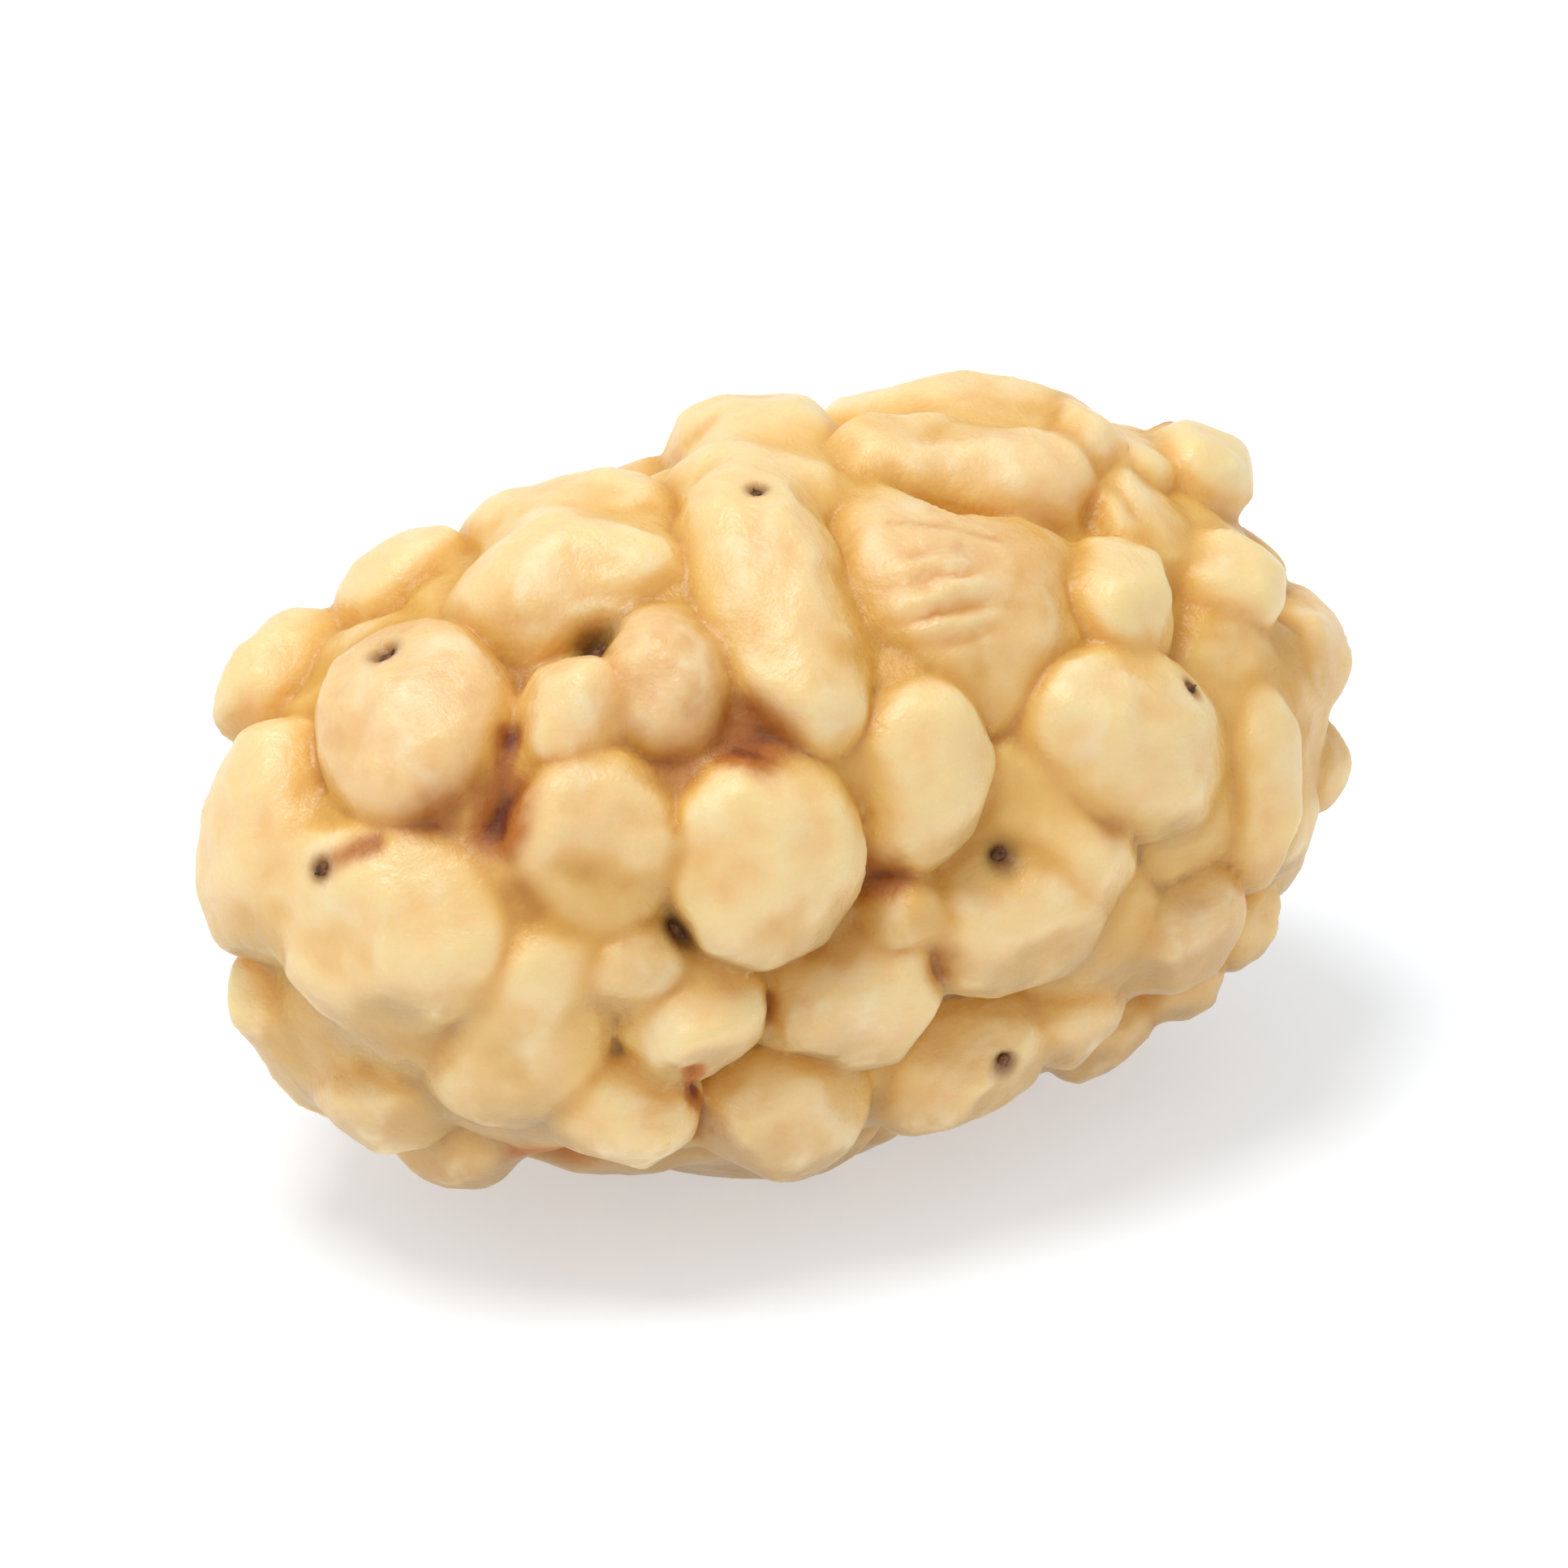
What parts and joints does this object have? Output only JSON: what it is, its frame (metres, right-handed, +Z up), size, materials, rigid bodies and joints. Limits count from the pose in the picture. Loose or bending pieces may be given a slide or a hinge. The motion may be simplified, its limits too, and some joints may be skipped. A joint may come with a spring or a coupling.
{
  "type": "dried white mulberry",
  "caption": "One whole dried white mulberry lying on its side: an oblong head of waxy cream drupelet lobes pressed together, with a broken stalk stub sunk in one end.",
  "frame": {"origin": "on the surface that the berry lies on, below the middle of its bounding box", "axes": "+X along the berry from its blunt tip to its stalk end, +Y across it to the side away from the picture's eye, +Z up"},
  "size_m": [0.0162, 0.0096, 0.0096],
  "materials": {
    "flesh": "dried fruit flesh, cream to honey, waxy and semi-matte, slightly translucent; wood stands in as the nearest plant matter",
    "stigma": "dry matte dark brown stigma stubs",
    "stalk": "dry fibrous brown stalk stub"
  },
  "bodies": {
    "root": {"mulberry": "flesh"}
  },
  "joints": []
}
